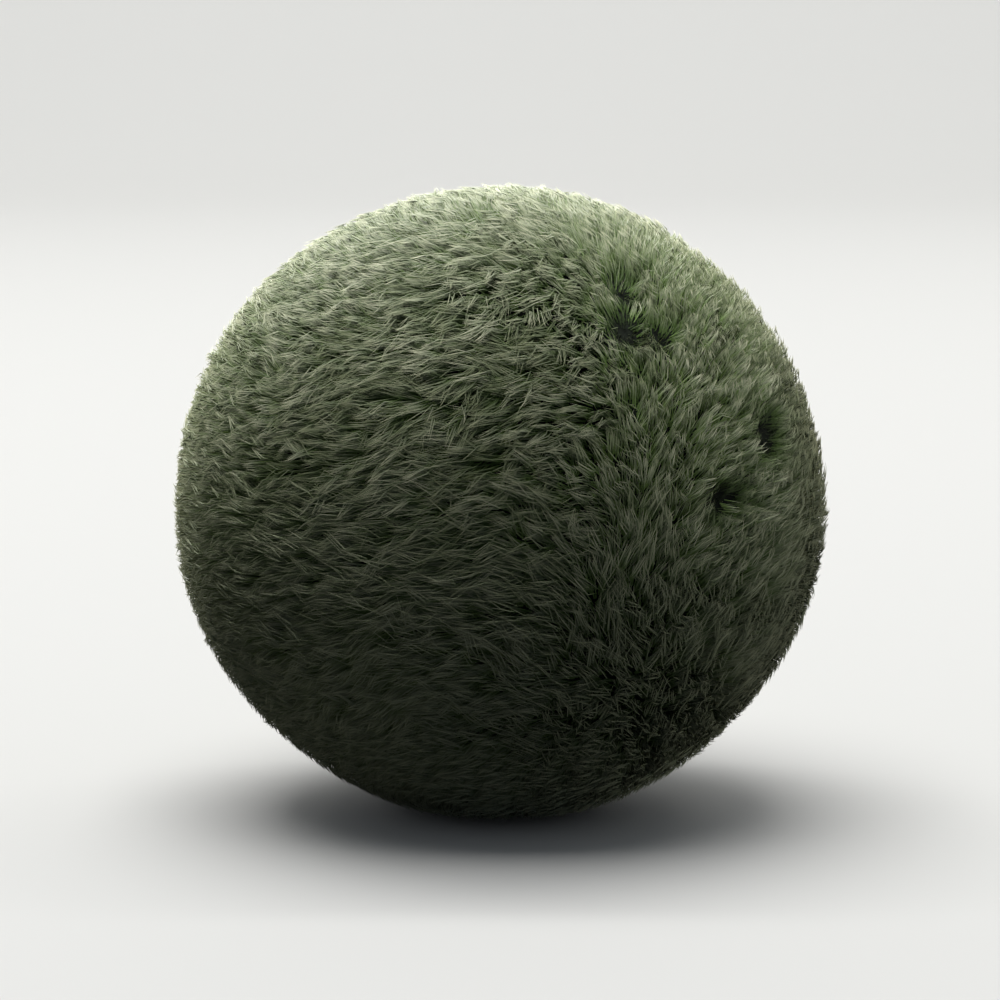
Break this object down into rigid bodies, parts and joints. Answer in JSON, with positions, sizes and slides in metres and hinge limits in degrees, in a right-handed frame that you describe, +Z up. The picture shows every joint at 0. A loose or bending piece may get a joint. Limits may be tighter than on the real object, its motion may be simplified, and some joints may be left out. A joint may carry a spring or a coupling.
{
  "type": "artificial marimo moss ball",
  "caption": "Soft plush moss ball for aquariums: a combed dark green fibre cover around a hollow plastic lattice core, with a small flat resting spot.",
  "frame": {"origin": "middle of the flat resting spot, on the surface that the ball stands on", "axes": "+Z up; the side that the picture shows faces -Y; +X to the right seen from there"},
  "size_m": [0.0499, 0.0498, 0.0476],
  "materials": {
    "moss_plush": "dense short pile of dark olive-grey green fibres, combed in swirls",
    "core_plastic": "moulded dark grey plastic with a fine matt texture"
  },
  "bodies": {
    "root": {"moss_cover": "moss_plush", "lattice_core": "core_plastic"}
  },
  "joints": []
}
